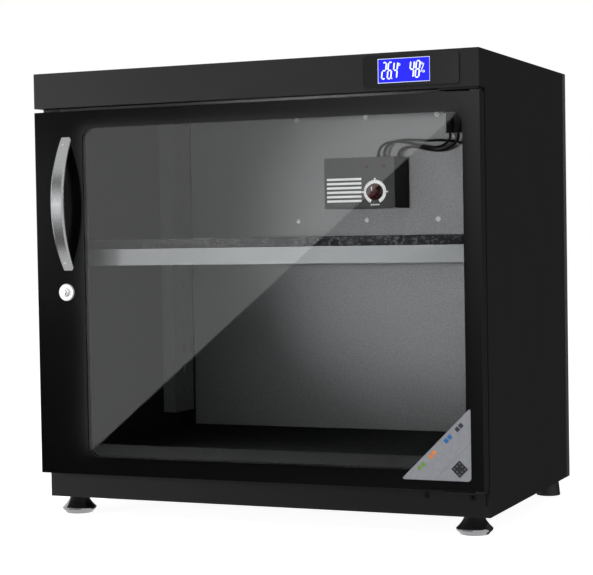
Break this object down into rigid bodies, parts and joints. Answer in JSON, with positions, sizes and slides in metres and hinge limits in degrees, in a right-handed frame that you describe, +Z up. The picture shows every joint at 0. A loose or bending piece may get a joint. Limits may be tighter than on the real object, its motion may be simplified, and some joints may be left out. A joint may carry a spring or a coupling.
{
  "type": "camera dry cabinet",
  "caption": "Black steel humidity-controlled storage cabinet for cameras and lenses, with a glazed hinged door, bow handle, cam lock, shelf, control box and lit display.",
  "frame": {"origin": "on the surface the cabinet stands on, under the middle of its bounding box", "axes": "+X to the right seen from the front, +Y from the door to the back, +Z up"},
  "size_m": [0.48, 0.351, 0.46],
  "materials": {
    "black_sheet": "black powder coat with a fine texture",
    "inner_sheet": "dark grey powder coat",
    "door_paint": "glossy black enamel",
    "galvanised": "zinc plated",
    "foam_black": "black speckled foam",
    "foam_grey": "grey speckled foam",
    "window_glass": "clear toughened glass",
    "black_rubber": "matt",
    "satin_chrome": "satin",
    "foot_chrome": "polished",
    "screw_steel": "zinc plated",
    "aluminium_trim": "satin",
    "sink_aluminium": "extruded",
    "gloss_black": "polished",
    "lcd_blue": "lit blue display",
    "board_green": "solder mask",
    "box_black": "moulded",
    "plate_grey": "satin",
    "lamp_red": "dark red lens",
    "tile_white": "ceramic",
    "cord_black": "satin",
    "nylon_natural": "natural",
    "label_silver": "satin film",
    "knob_dark": "dark red"
  },
  "bodies": {
    "cabinet": {"left_side_panel": "black_sheet", "right_side_panel": "black_sheet", "back_panel": "inner_sheet", "floor_panel": "inner_sheet", "front_rail": "black_sheet", "ceiling_panel": "inner_sheet", "top_cover": "black_sheet", "floor_mat": "foam_black", "shelf_post_front_left": "inner_sheet", "shelf_post_front_right": "inner_sheet", "shelf_post_rear_left": "inner_sheet", "shelf_post_rear_right": "inner_sheet", "shelf_clips": "galvanised", "display_bezel": "gloss_black", "lcd_module": "lcd_blue", "display_board": "board_green", "control_box": "box_black", "control_faceplate": "plate_grey", "status_lamps": "lamp_red", "potentiometer": "galvanised", "control_board": "board_green", "cooling_tile": "tile_white", "cold_sink": "sink_aluminium", "hot_sink": "sink_aluminium", "rear_vent_cover": "black_sheet", "module_screws": "screw_steel", "case_screws": "screw_steel", "socket_block": "box_black", "dc_inlet": "box_black", "upper_hinge_bracket": "black_sheet", "lower_hinge_bracket": "black_sheet", "hinge_screws": "screw_steel", "rear_foot_left": "black_rubber", "rear_foot_right": "black_rubber", "foot_nuts": "galvanised", "control_lead_a": "cord_black", "control_lead_b": "cord_black", "sensor_lead": "cord_black", "lead_plug_a": "box_black", "lead_plug_b": "box_black", "humidity_sensor": "box_black"},
    "door": {"door_frame": "door_paint", "door_glass": "window_glass", "glazing_seal": "black_rubber", "door_liner": "door_paint", "door_gasket": "black_rubber", "handle_bow": "satin_chrome", "handle_screws": "screw_steel", "lock_housing": "satin_chrome", "lock_nut": "galvanised", "hinge_bushes": "nylon_natural", "corner_label": "label_silver"},
    "lock": {"lock_plug": "satin_chrome", "lock_cam": "galvanised"},
    "knob": {"dial_knob": "knob_dark"},
    "left_foot": {"front_foot_left": "foot_chrome"},
    "right_foot": {"front_foot_right": "foot_chrome"},
    "shelf": {"shelf_tray": "inner_sheet", "shelf_front_trim": "aluminium_trim", "shelf_mat": "foam_grey"}
  },
  "joints": [
    {"name": "door_hinge", "type": "hinge", "parent": "cabinet", "child": "door", "pos_m": [0.234, -0.1475, 0.233], "axis": [0, 0, 1], "range_deg": [0, 120]},
    {"name": "lock_turn", "type": "hinge", "parent": "door", "child": "lock", "pos_m": [-0.2053, -0.1545, 0.234], "axis": [0, 1, 0], "range_deg": [0, 90]},
    {"name": "dial_turn", "type": "hinge", "parent": "cabinet", "child": "knob", "pos_m": [0.0352, 0.1135, 0.336], "axis": [0, 1, 0], "range_deg": [-135, 135]},
    {"name": "left_foot_screw", "type": "slide", "parent": "cabinet", "child": "left_foot", "axis": [0, 0, -1], "range_m": [0, 0.01]},
    {"name": "right_foot_screw", "type": "slide", "parent": "cabinet", "child": "right_foot", "axis": [0, 0, -1], "range_m": [0, 0.01]},
    {"name": "shelf_slide", "type": "slide", "parent": "cabinet", "child": "shelf", "axis": [0, -1, 0], "range_m": [0, 0.01]}
  ]
}
